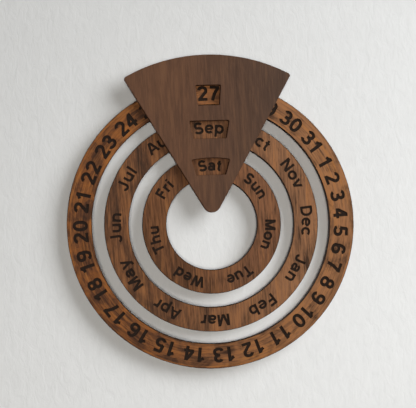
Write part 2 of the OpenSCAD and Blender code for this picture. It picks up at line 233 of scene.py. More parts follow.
def letter_cuts(letter, turn, foot_r, cap, width, stretch):
    """Cut outlines of one letter that stands on a circle, with its top towards the rim."""
    across, *strokes = GLYPHS[letter]
    along = Vector((math.cos(turn), -math.sin(turn))) * cap
    up = polar(1, turn)
    for stroke in strokes:
        for cut in stroke_cuts(*stroke, width=width / cap):
            yield [along * (p.x - across / 2) * stretch + up * (foot_r + p.y * cap) for p in cut]


def word_cuts(word, turn, foot_r, cap, width, stretch):
    """Cut outlines of a word that follows a circle and is centred on a turn."""
    at = -sum(GLYPHS[letter][0] for letter in word) / 2
    for letter in word:
        across = GLYPHS[letter][0]
        letter_turn = turn + (at + across / 2) * stretch * cap / foot_r
        yield from letter_cuts(letter, letter_turn, foot_r, cap, width, stretch)
        at += across


def date_cuts(marks):
    """Cut outlines of the dates, spaced digit by digit, with the shown one at the fan's middle."""
    cap, width, middle_r = marks.dates
    pitch = marks.digit_turn
    space = (2 * math.pi - pitch * sum(map(len, DATES))) / len(DATES)
    turns, at = [], 0.0
    for date in DATES:
        turns.append(at + pitch * len(date) / 2)
        at += pitch * len(date) + space
    start = marks.date_turn - turns[DATES.index(SHOWN_DATE)]
    for date, turn in zip(DATES, turns):
        for i, digit in enumerate(date):
            digit_turn = start + turn + pitch * (i - (len(date) - 1) / 2)
            yield from letter_cuts(digit, digit_turn, middle_r - cap / 2, cap, width, marks.digit_stretch)


def dial_cuts(words, shown, sizes, turn, stretch=1.0):
    """Cut outlines of words spread evenly round a dial, with one of them at the fan's middle."""
    cap, width, middle_r = sizes
    for i, word in enumerate(words):
        word_turn = turn + 2 * math.pi * (i - words.index(shown)) / len(words)
        yield from word_cuts(word, word_turn, middle_r - cap / 2, cap, width, stretch)


def cut_face(outer, holes, cuts):
    """Triangles of the face between a loop and its holes, and of the cuts in that face.

    Also gives the points, and the places in them of the loop's and the holes' own points.
    """
    points, outlines = [], []
    for outline in (outer, *holes, *cuts):
        outlines.append(list(range(len(points), len(points) + len(outline))))
        points.extend(outline)
    found, _, triangles, origins, _, owners = delaunay_2d_cdt(points, [], outlines, 0, MERGE)
    new = {old: i for i, olds in enumerate(origins) for old in olds}
    first_cut = 1 + len(holes)
    face, floor = [], []
    for corners, inside in zip(triangles, owners):
        if 0 in inside and not any(0 < i < first_cut for i in inside):
            (floor if max(inside) >= first_cut else face).append(corners)
    loops = [[new[i] for i in outline] for outline in outlines[:first_cut]]
    return found, face, floor, loops


class Piece:
    """Points and faces of one piece, in the model's frame.

    A face is its corners, its finish and whether it is shaded smooth.
    """

    def __init__(self):
        self.points = []
        self.faces = []

    def loop(self, outline, depth):
        """Adds the points of an outline at one depth, and returns their places."""
        start = len(self.points)
        self.points.extend(place(p, depth) for p in outline)
        return list(range(start, len(self.points)))

    def flat(self, outer, holes, depth, cuts=(), groove=0.0):
        """Adds the flat face between a loop and its holes, with cuts engraved into it.

        Returns the places of the loop's and the holes' points.
        """
        found, face, floor, loops = cut_face(outer, holes, cuts)
        start = len(self.points)
        self.loop(found, depth)
        self.faces.extend((tuple(start + i for i in corners), FACE, False) for corners in face)
        # The floor of the cuts, and then upright walls where it borders on the face
        low = {}
        for corners in floor:
            for i in corners:
                if i not in low:
                    low[i] = len(self.points)
                    self.points.append(place(found[i], depth - groove))
            self.faces.append((tuple(low[i] for i in corners), ENGRAVING, False))
        rim = {(a, b) for c in face for a, b in zip(c, c[1:] + c[:1])}
        for corners in floor:
            for a, b in zip(corners, corners[1:] + corners[:1]):
                if (b, a) in rim:
                    self.faces.append(((start + a, start + b, low[b], low[a]), ENGRAVING, False))
        return [[start + i for i in loop] for loop in loops]

    def band(self, first, second, finish, smooth=True):
        """Joins two closed loops of as many points each."""
        for i in range(len(first)):
            self.faces.append(((first[i - 1], first[i], second[i], second[i - 1]), finish, smooth))

    def bands(self, rows, finish):
        """Joins some closed loops, each to the next."""
        for first, second in zip(rows, rows[1:]):
            self.band(first, second, finish)

    def build(self, name, finishes):
        """Makes the object, with its faces turned outwards."""
        mesh = bpy.data.meshes.new(name)
        mesh.from_pydata(self.points, [], [corners for corners, _, _ in self.faces])
        for polygon, (_, finish, smooth) in zip(mesh.polygons, self.faces):
            polygon.material_index = finish
            polygon.use_smooth = smooth
        for finish in finishes:
            mesh.materials.append(finish)
        work = bmesh.new()
        work.from_mesh(mesh)
        bmesh.ops.remove_doubles(work, verts=work.verts, dist=MERGE)
        bmesh.ops.recalc_face_normals(work, faces=work.faces)
        work.to_mesh(mesh)
        work.free()
        piece = bpy.data.objects.new(name, mesh)
        bpy.context.scene.collection.objects.link(piece)
        return piece


def eased(back, front, back_r, front_r):
    """Steps of a wall with rounded edges, from the rear face to the front: inset and depth."""
    turns = [math.pi / 2 * i / EDGE_STEPS for i in range(EDGE_STEPS + 1)]
    for turn in turns:
        yield back_r * (1 - math.sin(turn)), back + back_r * (1 - math.cos(turn))
    for turn in turns:
        yield front_r * (1 - math.cos(turn)), front - front_r * (1 - math.sin(turn))


def slab(outer, holes, back, front, back_r, front_r, arris, cuts=(), groove=0.0):
    """Board cut to a loop and its holes, with eased edges and a face engraved to a depth.

    A loop is a list of points with the normals that point out of the wood. Its finishes are
    the sawn faces, the walls and the engraving. The eased edges take the finish arris.
    """
    piece = Piece()
    steps = list(eased(back, front, back_r, front_r))
    edges = [outer, *holes]

    def inset(edge, by):
        """Outline of a loop that is moved into the wood."""
        return [p - n * by for p, n in edge]

    rims = []
    for (by, depth), marks in ((steps[0], ()), (steps[-1], cuts)):
        outlines = [inset(edge, by) for edge in edges]
        rims.append(piece.flat(outlines[0], outlines[1:], depth, marks, groove))
    between = [[piece.loop(inset(edge, by), depth) for edge in edges] for by, depth in steps[1:-1]]
    rows = [rims[0], *between, rims[1]]
    for i, (behind, ahead) in enumerate(zip(rows, rows[1:])):
        finish = WALL if i == EDGE_STEPS else arris
        for first, second in zip(behind, ahead):
            piece.band(first, second, finish)
    return piece


def circle_edge(r, steps, outwards):
    """Loop round the dial axis, with normals away from it or towards it."""
    rays = [polar(1, -2 * math.pi * i / steps) for i in range(steps)]
    return [(ray * r, ray * outwards) for ray in rays]


def arc_edge(middle, r, start, end, steps):
    """Run of a loop along an arc, between two turns from the upright."""
    turns = [start + (end - start) * i / steps for i in range(steps + 1)]
    return [(middle + polar(r, turn), polar(1, turn)) for turn in turns]


def fan_edge(plate):
    """Loop of the fan: its tip, its right corner, its crown and its left corner."""
    half = plate.fan_half
    inward = Vector((-math.cos(half), math.sin(half)))
    along = Vector((math.sin(half), math.cos(half)))
    apex = Vector((0, plate.apex_rise))
    tip = apex + Vector((0, plate.tip_r / math.sin(half)))
    crown = Vector((0, plate.crown_y - plate.crown_r))
    start = apex + plate.corner_r * inward
    ahead = (start - crown).dot(along)
    reach = plate.crown_r - plate.corner_r
    step = math.sqrt(reach ** 2 - (start - crown).length_squared + ahead ** 2) - ahead
    corner = start + step * along
    crown_half = math.atan2(corner.x - crown.x, corner.y - crown.y)
    side = math.pi / 2 + half
    left = Vector((-corner.x, corner.y))
    right_half = [
        *arc_edge(tip, plate.tip_r, -side + 2 * math.pi, side, TIP_STEPS),
        *arc_edge(corner, plate.corner_r, side, crown_half, CORNER_STEPS),
        *arc_edge(crown, plate.crown_r, crown_half, -crown_half, CROWN_STEPS)[1:-1],
    ]
    return right_half + arc_edge(left, plate.corner_r, -crown_half, -side, CORNER_STEPS)


def window_edge(middle_r, w, h, arch, corner_r):
    """Loop of a window with sides that point at the dial axis and a straight foot.

    Its top is straight, or rises by an arch in the middle. Its normals point into the window.
    """
    half = math.atan2(w / 2, middle_r)
    high, low = middle_r + h / 2, middle_r - h / 2
    along = polar(1, half)
    inward = polar(1, half - math.pi / 2)
    foot = Vector(((low + corner_r) * math.tan(half) - corner_r / math.cos(half), low + corner_r))
    reach = high * math.tan(half)
    top_r = (reach ** 2 + arch ** 2) / (2 * max(arch, NO_ARCH))
    crown = Vector((0, high - top_r))
    start = corner_r * inward - crown
    ahead = start.dot(along)
    step = math.sqrt((top_r - corner_r) ** 2 - start.length_squared + ahead ** 2) - ahead
    corner = corner_r * inward + step * along
    top_half = math.atan2(corner.x, corner.y - crown.y)
    side = half + math.pi / 2
    right = [
        *arc_edge(foot, corner_r, math.pi, side, WINDOW_STEPS),
        *arc_edge(corner, corner_r, side, top_half, WINDOW_STEPS),
        *arc_edge(crown, top_r, top_half, 0, WINDOW_STEPS)[1:],
    ]
    left = [(Vector((-p.x, p.y)), Vector((-n.x, n.y))) for p, n in right[-2::-1]]
    return [(p, -n) for p, n in right + left]


def add(tree, kind, inputs, output=None, **settings):
    """Adds a node with its settings, links or sets its inputs, and returns an output.

    A colour is given as an sRGB hex value, or as its three linear values.
    """
    made = tree.nodes.new(kind)
    for key, value in settings.items():
        setattr(made, key, value)
    for key, value in inputs.items():
        named = (s for s in made.inputs if s.enabled and s.name == key)
        socket = made.inputs[key] if isinstance(key, int) else next(named)
        if isinstance(value, bpy.types.NodeSocket):
            tree.links.new(value, socket)
        elif socket.type == "RGBA":
            socket.default_value = (*(linear(value) if isinstance(value, str) else value), 1.0)
        else:
            socket.default_value = value
    return next((s for s in made.outputs if s.enabled and output in (None, s.name)), None)


def start_material(name):
    """Empty material, its tree, and the place on the piece that its patterns follow."""
    material = bpy.data.materials.new(name)
    material.use_nodes = True
    material.node_tree.nodes.clear()
    spot = add(material.node_tree, "ShaderNodeTexCoord", {}, "Object")
    return material, material.node_tree, spot


def surface(tree, colour, roughness, height, relief, **fixed):
    """Ends a material with its shader: colour, gloss and the relief of a pattern, in metres."""
    bump = add(tree, "ShaderNodeBump", {"Height": height, "Distance": relief})
    inputs = {"Base Color": colour, "Roughness": roughness, "Normal": bump}
    inputs.update({key.replace("_", " "): value for key, value in fixed.items()})
    shader = add(tree, "ShaderNodeBsdfPrincipled", inputs)
    add(tree, "ShaderNodeOutputMaterial", {"Surface": shader})


def per_mm(size):
    """Scale of a pattern whose features are this many millimetres across."""
    return 1 / (size * MM)


def bent_grain(tree, spot, bend):
    """Coordinates that run along the grain on a circle of a radius, and across it in Y."""
    flat = add(tree, "ShaderNodeMapping", {
        "Vector": spot, "Location": (0, 0, -AXIS_Z), "Scale": (1, 0, 1),
    })
    reach = add(tree, "ShaderNodeVectorMath", {0: flat}, "Value", operation="LENGTH")
    ray = add(tree, "ShaderNodeVectorMath", {0: flat}, operation="NORMALIZE")
    round_dial = add(tree, "ShaderNodeVectorMath", {0: ray, "Scale": bend}, operation="SCALE")
    across = add(tree, "ShaderNodeCombineXYZ", {"Y": reach})
    return add(tree, "ShaderNodeVectorMath", {0: round_dial, 1: across}, operation="ADD")


# How many times as far walnut's streaks and pores run along the grain as across it
STREAK_RUN, PORE_RUN = 14, 12
# Widths of the fine lines in its streaks, and of its pores, in millimetres. Pores are about 0.3 mm
# wide, drawn wider so that they show.
THREAD_W, PORE_W = 1.8, 0.6
# How strongly threads and pores show beside the streaks, and how far the drifting tone (on the rings a
# painted sheen) or a sawn edge goes
THREAD_SHARE, PORE_SHARE, MOST = 0.6, 0.55, 0.85


def walnut(name, heart, tones, side, seed, streaky, patchy, patch_w, patch_run,
           streak_w=8, tilt=0.0, bend=0.0, cut=None):
    """Walnut, sawn, sanded and oiled, with its grain upright or bent round the dial.

    It gives a matt brown with long streaks some millimetres wide, slow drifts across the board to
    another tone, from a warm to a dark brown on the plate and the carrier, and on the rings to a lighter,
    paler brown that is painted sheen on their right side, and short dark pores along the grain that
    break up the gloss.

    heart is its main colour. tones are its dark streaks, light streaks, warm patches and the tone
    that it drifts to between the two places across the board that side gives; on the rings that last
    tone is a lighter, paler brown, painted sheen on their right side. seed is its place in the pattern.
    streaky and patchy are the strengths of its streaks and patches, streak_w and patch_w their widths
    in millimetres, and patch_run the patches' length to width. tilt turns the grain off the upright,
    and bend is the radius that it is bent to. cut is the tone of its sawn edges, where they aren't a
    finish of their own.
    """
    dark, light, warm, drift_and_sheen = tones
    material, tree, spot = start_material(name)
    run = bent_grain(tree, spot, bend) if bend else spot
    board = add(tree, "ShaderNodeMapping", {"Vector": run, "Rotation": (0, tilt, 0)})

    def drawn_out(times):
        """Coordinates for a pattern that runs so many times as far along the grain as across it."""
        scale = (1 / times, 1, 1 / times) if bend else (1, 1, 1 / times)
        return add(tree, "ShaderNodeMapping", {"Vector": board, "Location": seed, "Scale": scale})

    drawn = drawn_out(STREAK_RUN)
    streaks = add(tree, "ShaderNodeTexNoise", {
        "Vector": drawn, "Scale": per_mm(streak_w), "Detail": 5, "Roughness": 0.62, "Distortion": 0.5,
    })
    threads = add(tree, "ShaderNodeTexNoise", {
        "Vector": drawn, "Scale": per_mm(THREAD_W), "Detail": 3, "Roughness": 0.6,
    })
    pores = add(tree, "ShaderNodeTexNoise", {
        "Vector": drawn_out(PORE_RUN), "Scale": per_mm(PORE_W), "Detail": 2,
    })
    # Noise lies mostly between 0.3 and 0.7, and the ranges below take its low or its high part
    pore = add(tree, "ShaderNodeMapRange", {"Value": pores, "From Min": 0.58, "From Max": 0.74})
    patches = add(tree, "ShaderNodeTexNoise", {
        "Vector": drawn_out(patch_run), "Scale": per_mm(patch_w), "Detail": 5, "Roughness": 0.65,
        "Distortion": 0.6,
    })
    warmth = add(tree, "ShaderNodeMapRange", {
        "Value": patches, "From Min": 0.46, "From Max": 0.64, "To Max": patchy,
    })
    gloom = add(tree, "ShaderNodeMapRange", {
        "Value": patches, "From Min": 0.28, "From Max": 0.52, "To Min": patchy, "To Max": 0.0,
    })
    shade = add(tree, "ShaderNodeMapRange", {
        "Value": streaks, "From Min": 0.32, "From Max": 0.54, "To Min": streaky, "To Max": 0.0,
    })
    glow = add(tree, "ShaderNodeMapRange", {
        "Value": streaks, "From Min": 0.5, "From Max": 0.7, "To Max": streaky,
    })
    thread_depth = THREAD_SHARE * streaky
    thread = add(tree, "ShaderNodeMapRange", {
        "Value": threads, "From Min": 0.3, "From Max": 0.7, "To Min": thread_depth, "To Max": -thread_depth,
    })
    pit = add(tree, "ShaderNodeMath", {0: pore, 1: PORE_SHARE * streaky}, operation="MULTIPLY")
    streak = add(tree, "ShaderNodeMath", {0: shade, 1: thread}, operation="ADD")
    stain = add(tree, "ShaderNodeMath", {0: streak, 1: gloom}, operation="ADD")
    darkness = add(tree, "ShaderNodeMath", {0: stain, 1: pit}, operation="ADD", use_clamp=True)
    body = add(tree, "ShaderNodeMix", {"Factor": warmth, "A": heart, "B": warm}, data_type="RGBA")
    # Across the board the wood shifts to its last tone; on the rings this paints sheen, a lighter, paler
    # right side
    across = add(tree, "ShaderNodeSeparateXYZ", {"Vector": spot}, "X")
    far = add(tree, "ShaderNodeMapRange", {
        "Value": across, "From Min": side[0], "From Max": side[1], "To Max": MOST,
    })
    drifted_and_sheened_tone = add(tree, "ShaderNodeMix", {"Factor": far, "A": body, "B": drift_and_sheen}, data_type="RGBA")
    shine = add(tree, "ShaderNodeMath", {0: glow, 1: thread}, operation="SUBTRACT", use_clamp=True)
    lit = add(tree, "ShaderNodeMix", {"Factor": shine, "A": drifted_and_sheened_tone, "B": light}, data_type="RGBA")
    shaded = add(tree, "ShaderNodeMix", {"Factor": darkness, "A": lit, "B": dark}, data_type="RGBA")
    if cut:
        # Sawn edges are the faces that look neither to the front nor to the back
        facing = add(tree, "ShaderNodeTexCoord", {}, "Normal")
        through = add(tree, "ShaderNodeSeparateXYZ", {"Vector": facing}, "Y")
        flat = add(tree, "ShaderNodeMath", {0: through}, operation="ABSOLUTE")
        edge = add(tree, "ShaderNodeMapRange", {
            "Value": flat, "From Min": 0.35, "From Max": 0.65, "To Min": MOST, "To Max": 0.0,
        })
        shaded = add(tree, "ShaderNodeMix", {"Factor": edge, "A": shaded, "B": cut}, data_type="RGBA")
    gloss = add(tree, "ShaderNodeMapRange", {"Value": pore, "To Min": 0.68, "To Max": 0.85})
    sanded = add(tree, "ShaderNodeMath", {0: 1.0, 1: pore}, operation="SUBTRACT")
    surface(tree, shaded, gloss, height=sanded, relief=0.03 * MM, Specular_IOR_Level=0.15)
    return material


def charred(name, brown):
    """Walnut charred by the engraving laser: a dull, sooty black with brown breaking through."""
    material, tree, spot = start_material(name)
    # Specks of soot are about 0.1 mm wide, drawn 1.6 mm wide so that they show
    soot = add(tree, "ShaderNodeTexNoise", {"Vector": spot, "Scale": per_mm(1.6), "Detail": 3})
    colour = add(tree, "ShaderNodeMix", {"Factor": soot, "A": "#0f0b09", "B": brown}, data_type="RGBA")
    surface(tree, colour, roughness=0.92, height=soot, relief=0.12 * MM, Specular_IOR_Level=0.15)
    return material


def burnt(name, dark, light):
    """Walnut edge cut by the laser: browned and matt, with the beam's lines through the board."""
    material, tree, spot = start_material(name)
    lines = add(tree, "ShaderNodeMapping", {"Vector": spot, "Scale": (1, 1 / 12, 1)})
    # The beam's lines are about 0.2 mm wide, drawn 0.9 mm wide so that they show
    beam = add(tree, "ShaderNodeTexNoise", {"Vector": lines, "Scale": per_mm(0.9), "Detail": 2})
    colour = add(tree, "ShaderNodeMix", {"Factor": beam, "A": dark, "B": light}, data_type="RGBA")
    surface(tree, colour, roughness=0.85, height=beam, relief=0.06 * MM, Specular_IOR_Level=0.03)
    return material


def plated_steel(name, bright, dull, roughness):
    """Pressed steel with a zinc plating: a cool grey metal, slightly clouded and brushed."""
    material, tree, spot = start_material(name)
    cloud = add(tree, "ShaderNodeTexNoise", {"Vector": spot, "Scale": per_mm(5), "Detail": 4})
    drawn = add(tree, "ShaderNodeMapping", {"Vector": spot, "Scale": (1 / 20, 1, 1)})
    # Brush lines are about 0.1 mm wide, drawn 0.4 mm wide so that they show
    brush = add(tree, "ShaderNodeTexNoise", {"Vector": drawn, "Scale": per_mm(0.4), "Detail": 2})
    colour = add(tree, "ShaderNodeMix", {"Factor": cloud, "A": bright, "B": dull}, data_type="RGBA")
    gloss = add(tree, "ShaderNodeMapRange", {
        "Value": brush, "To Min": roughness - 0.08, "To Max": roughness + 0.12,
    })
    surface(tree, colour, gloss, height=brush, relief=0.01 * MM, Metallic=1.0)
    return material


def felt(name, fibre):
    """Pressed wool felt: a soft charcoal with pale fibres, and no gloss."""
    material, tree, spot = start_material(name)
    # Fibres are about 0.03 mm thick, drawn as tufts 0.5 mm wide so that they show
    tufts = add(tree, "ShaderNodeTexNoise", {
        "Vector": spot, "Scale": per_mm(0.5), "Detail": 6, "Roughness": 0.7, "Distortion": 1.5,
    })
    colour = add(tree, "ShaderNodeMix", {"Factor": tufts, "A": "#25221f", "B": fibre}, data_type="RGBA")
    surface(
        tree, colour, roughness=1.0, height=tufts, relief=0.25 * MM,
        Sheen_Weight=0.4, Specular_IOR_Level=0.1,
    )
    return material


def beech(name):
    """Turned beech: a pale pinkish tan with short brown flecks along the dowel."""
    material, tree, spot = start_material(name)
    drawn = add(tree, "ShaderNodeMapping", {"Vector": spot, "Scale": (1, 1 / 4, 1)})
    flecks = add(tree, "ShaderNodeTexNoise", {"Vector": drawn, "Scale": per_mm(0.8), "Detail": 2})
    fleck = add(tree, "ShaderNodeMapRange", {"Value": flecks, "From Min": 0.5, "From Max": 0.72})
    colour = add(tree, "ShaderNodeMix", {
        "Factor": fleck, "A": "#cfa97b", "B": "#9c6f47",
    }, data_type="RGBA")
    surface(tree, colour, roughness=0.6, height=flecks, relief=0.03 * MM)
    return material


def seen_plainly(tree):
    """One where the eye or a reflection sees a surface, and nought where light falls on it."""
    eye = add(tree, "ShaderNodeLightPath", {}, "Is Camera Ray")
    mirror = add(tree, "ShaderNodeLightPath", {}, "Is Glossy Ray")
    return add(tree, "ShaderNodeMath", {0: eye, 1: mirror}, operation="MAXIMUM")


# Share of the floor's colour that shows evenly, and share that light and shadow fall on
FLOOR_EVEN, FLOOR_LIT = 0.85, 0.1


def pale_floor(name, colour):
    """Plain matt floor: pale and even to the eye and in reflections, with a faint shadow."""
    material, tree, _ = start_material(name)
    clear = add(tree, "ShaderNodeBsdfTransparent", {})
    even = add(tree, "ShaderNodeEmission", {"Color": colour, "Strength": FLOOR_EVEN})
    faint = [FLOOR_LIT * channel for channel in colour]
    paint = add(tree, "ShaderNodeBsdfDiffuse", {"Color": faint})
    lit = add(tree, "ShaderNodeAddShader", {0: even, 1: paint})
    shader = add(tree, "ShaderNodeMixShader", {0: seen_plainly(tree), 1: clear, 2: lit})
    add(tree, "ShaderNodeOutputMaterial", {"Surface": shader})
    return material


def backdrop(name, colour):
    """Painted plaster: a matt white, faintly mottled, with a soft relief of upright trowel strokes.

    Its paint holds painted shade that turns it more grey towards its upper left, and a painted falloff
    of the light that darkens it far from the calendar. The eye sees it only from its front, so that views
    from behind, and the hanger's reflections, pass through it. It stops light that has bounced.
    """
    # Painted shade: the way to the upper left, metres along it between which the paint greys, and the tone
    # left there
    upper_left, grey_from, grey_to, painted_shade_least = (-0.45, 0, 0.9), -0.35, 0.18, 0.76
    # Painted falloff of the light: metres from the dial between which the paint dims, and the tone left
    # there
    dim_from, dim_to, painted_falloff_least = 0.3, 1.2, 0.75
    material, tree, spot = start_material(name)
    drawn = add(tree, "ShaderNodeMapping", {"Vector": spot, "Scale": (1, 1, 0.45)})
    trowel = add(tree, "ShaderNodeTexNoise", {
        "Vector": drawn, "Scale": per_mm(7), "Detail": 5, "Roughness": 0.62, "Distortion": 0.6,
    })
    bump = add(tree, "ShaderNodeBump", {"Height": trowel, "Distance": 0.6 * MM})
    mottle = add(tree, "ShaderNodeMapRange", {
        "Value": trowel, "From Min": 0.3, "From Max": 0.7, "To Min": 0.95,
    })
    along = add(tree, "ShaderNodeVectorMath", {0: spot, 1: upper_left}, "Value", operation="DOT_PRODUCT")
    painted_shade_upper_left = add(tree, "ShaderNodeMapRange", {
        "Value": along, "From Min": grey_from, "From Max": grey_to, "To Min": 1.0, "To Max": painted_shade_least,
    })
    away = add(tree, "ShaderNodeVectorMath", {0: spot, 1: (0, 0, AXIS_Z)}, "Value", operation="DISTANCE")
    painted_falloff_far = add(tree, "ShaderNodeMapRange", {
        "Value": away, "From Min": dim_from, "From Max": dim_to, "To Min": 1.0, "To Max": painted_falloff_least,
    })
    # The painted shade and the painted falloff of the light darken the paint's colour
    tone = add(tree, "ShaderNodeMath", {0: painted_shade_upper_left, 1: painted_falloff_far}, operation="MULTIPLY")
    shade = add(tree, "ShaderNodeMath", {0: mottle, 1: tone}, operation="MULTIPLY")
    paint_tone = add(tree, "ShaderNodeMix", {
        "Factor": 1.0, "A": colour, "B": shade,
    }, data_type="RGBA", blend_type="MULTIPLY")
    paint = add(tree, "ShaderNodeBsdfDiffuse", {"Color": paint_tone, "Normal": bump})
    clear = add(tree, "ShaderNodeBsdfTransparent", {})
    behind = add(tree, "ShaderNodeNewGeometry", {}, "Backfacing")
    eye = add(tree, "ShaderNodeLightPath", {}, "Is Camera Ray")
    front = add(tree, "ShaderNodeMath", {0: eye, 1: behind}, operation="SUBTRACT", use_clamp=True)
    bounced = add(tree, "ShaderNodeLightPath", {}, "Diffuse Depth")
    shown = add(tree, "ShaderNodeMath", {0: front, 1: bounced}, operation="ADD", use_clamp=True)
    shader = add(tree, "ShaderNodeMixShader", {0: shown, 1: clear, 2: paint})
    add(tree, "ShaderNodeOutputMaterial", {"Surface": shader})
    return material


def length(name, description, default):
    """Property that holds a length, given in millimetres."""
    return FloatProperty(
        name=name, description=description, default=default * MM, unit="LENGTH", precision=4,
    )


def lengths(name, description, default):
    """Property that holds some lengths, given in millimetres."""
    return FloatVectorProperty(
        name=name, description=description, default=[d * MM for d in default],
        size=len(default), unit="LENGTH", precision=4,
    )


def angle(name, description, default):
    """Property that holds an angle, given in degrees."""
    return FloatProperty(
        name=name, description=description, default=math.radians(default), unit="ROTATION",
    )


def watts(name, description, default):
    """Property that holds a lamp's power, given in watts."""
    return FloatProperty(name=name, description=description, default=default, unit="POWER")


def factor(name, description, default):
    """Property that holds a plain number."""
    return FloatProperty(name=name, description=description, default=default)


def swatch(name, description, default):
    """Property that holds a colour, given as an sRGB hex value."""
    return FloatVectorProperty(
        name=name, description=description, default=linear(default), subtype="COLOR",
    )


class CalendarPlate(bpy.types.PropertyGroup):
    """Sizes of the fan-shaped front plate. A window's radius is that of its middle."""

    fan_half: angle("Half angle", "Half of the angle between the fan's sides", 30.2)
    apex_rise: length("Apex", "Height above the dial axis at which the sides would meet", 3.0)
    tip_r: length("Tip", "Radius of the fan's lower tip", 9.1)
    crown_y: length("Crown", "Height of the crown above the dial axis", 175.6)
    crown_r: length("Crown arc", "Radius of the crown's arc", 180)
    corner_r: length("Corners", "Radius of the crown's two corners", 2.5)
    front_edge: length("Front edge", "Radius on the front edges", 0.8)
    rear_edge: length("Rear edge", "Radius on the rear edges", 0.4)
    window_corner: length("Window corners", "Radius of the windows' corners", 1.2)
    date_window: lengths("Date window", "Radius, width, height and arch", (133.45, 24.5, 21, 0))
    month_window: lengths("Month window", "Radius, width, height and arch", (97.75, 38.2, 18.6, 0))
    weekday_window: lengths("Weekday window", "Radius, width, height and arch", (59.6, 36, 17.7, 2))


class CalendarMarks(bpy.types.PropertyGroup):
    """Sizes of the engraved marks and of the rings' edges. A mark's radius is that of its middle."""

    dates: lengths("Dates", "Height, stroke width and radius of the dates", (15.2, 3.1, 136.2))
    months: lengths("Months", "Height, stroke width and radius of the months", (12.2, 2.6, 100.5))
    weekdays: lengths("Weekdays", "Height, stroke width and radius of the weekdays", (11.3, 2.65, 61.3))
    depth: length("Depth", "Depth of the engraving", 1.0)
    digit_turn: angle("Digit pitch", "Turn from one digit of a date to the next", 5.22)
    digit_stretch: factor("Digit width", "Stretch of the digits across", 1.12)
    date_turn: angle("Date set", "Turn of the shown date from the fan's middle", 0.45)
    month_turn: angle("Month set", "Turn of the shown month from the fan's middle", 0.0)
    weekday_turn: angle("Weekday set", "Turn of the shown weekday from the fan's middle", -0.6)
    weekday_stretch: factor("Weekday width", "Stretch of the weekdays across", 0.95)
    ring_edge: length("Ring edges", "Radius on the rings' edges", 0.5)


class CalendarFinishes(bpy.types.PropertyGroup):
    """Main colours of the wood, the engraving, the steel and the felt."""

    plate: swatch("Plate", "Heartwood of the front plate", "#5c3e2c")
    date_ring: swatch("Date ring", "Heartwood of the date ring", "#633b21")
    month_ring: swatch("Month ring", "Heartwood of the month ring", "#623f28")
    weekday_ring: swatch("Weekday ring", "Heartwood of the weekday ring", "#5f3c25")
    carrier: swatch("Carrier", "Heartwood of the back plate, the spacer and the rails", "#654736")
    marks: swatch("Marks", "Brown that breaks through the charred marks", "#30231a")
    screws: swatch("Screws", "Zinc of the screws where it is brightest", "#8d9092")
    hanger: swatch("Hanger", "Zinc of the hanger where it is brightest", "#929699")
    pads: swatch("Pads", "Pale fibres of the wall pads", "#575049")


class CalendarStage(bpy.types.PropertyGroup):
    """Wall, floor, light and camera."""

    wall: swatch("Wall", "Colour of the wall", "#ededec")
    floor: swatch("Floor", "Colour of the floor", "#d8d7d4")
    key: watts("Key light", "Power of the key light", 37.2)
    key_tint: swatch("Key tint", "Colour of the key light", "#f9fcff")
    key_at: lengths("Key place", "Place of the key light from the dial's middle", (1240, -1270, 780))
    key_size: length("Key size", "Width of the key light", 1400)
    fill: watts("Fill light", "Power of the fill light", 28.5)
    fill_tint: swatch("Fill tint", "Colour of the fill light", "#fffbf4")
    fill_at: lengths("Fill place", "Place of the fill light from the dial's middle", (-300, -2500, -150))
    fill_size: length("Fill size", "Width of the fill light", 550)
    rear: watts("Rear light", "Power of the light on the back", 38)
    rear_tint: swatch("Rear tint", "Colour of the rear light", "#ffffff")
    rear_at: lengths("Rear place", "Place of the rear light from the dial's middle", (-700, 1800, 700))
    rear_size: length("Rear size", "Width of the rear light", 1200)
    ambient: factor("Ambient", "Strength of the light from all round", 0.02)
    distance: length("Distance", "Distance from the camera to the dial", 1200)
    azimuth: angle("Azimuth", "Turn of the camera round the calendar", -6.18)
    elevation: angle("Elevation", "Height of the camera above the level", 0.09)
    roll: angle("Roll", "Tilt of the camera about its own axis", 2.03)
    aim: lengths("Aim", "Aim to the right of and above the dial's middle", (-4.25, 20.8))
    lens: length("Lens", "Focal length of the camera", 99.86)


def finish_piece(piece, body, node):
    """Hangs a piece on its body and hides the solid that it stands for."""
    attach(piece, body)
    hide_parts(node)


# Edges that turn by more than this are sharp
SHARP = math.radians(40)


def dress(node, material, ease):
    """Gives a solid its material and breaks its sharp edges."""
    solid = frame["nodes"][node]
    solid.data.materials.clear()
    solid.data.materials.append(material)
    bevel = solid.modifiers.new("eased_edges", "BEVEL")
    bevel.width = ease
    bevel.segments = 2
    bevel.limit_method = "ANGLE"
    bevel.angle_limit = SHARP


class CALENDAR_OT_front_plate(bpy.types.Operator):
    """Makes the windowed fan"""

    bl_idname = "calendar.front_plate"
    bl_label = "Front plate"

    def execute(self, context):
        plate = context.scene.calendar_plate
        low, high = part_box("front_plate")
        windows = [
            window_edge(*size, plate.window_corner)
            for size in (plate.date_window, plate.month_window, plate.weekday_window)
        ]
        piece = slab(fan_edge(plate), windows, -high.y, -low.y, plate.rear_edge, plate.front_edge, FACE)
        wood = walnut(
            "oiled_walnut_plate", context.scene.calendar_finishes.plate,
            tones=("#38261b", "#715037", "#67462f", "#3f3129"), seed=(0.31, 0.2, 0.4),
            streaky=0.36, patchy=0.4, patch_w=30, patch_run=7, streak_w=4.5, tilt=0.02, side=(-0.03, 0.09),
        )
        edge = burnt("laser_cut_plate_edge", "#38241a", "#66442f")
        shown = piece.build("windowed_fan", [wood, edge])
        finish_piece(shown, "carrier", "front_plate")
        return {"FINISHED"}


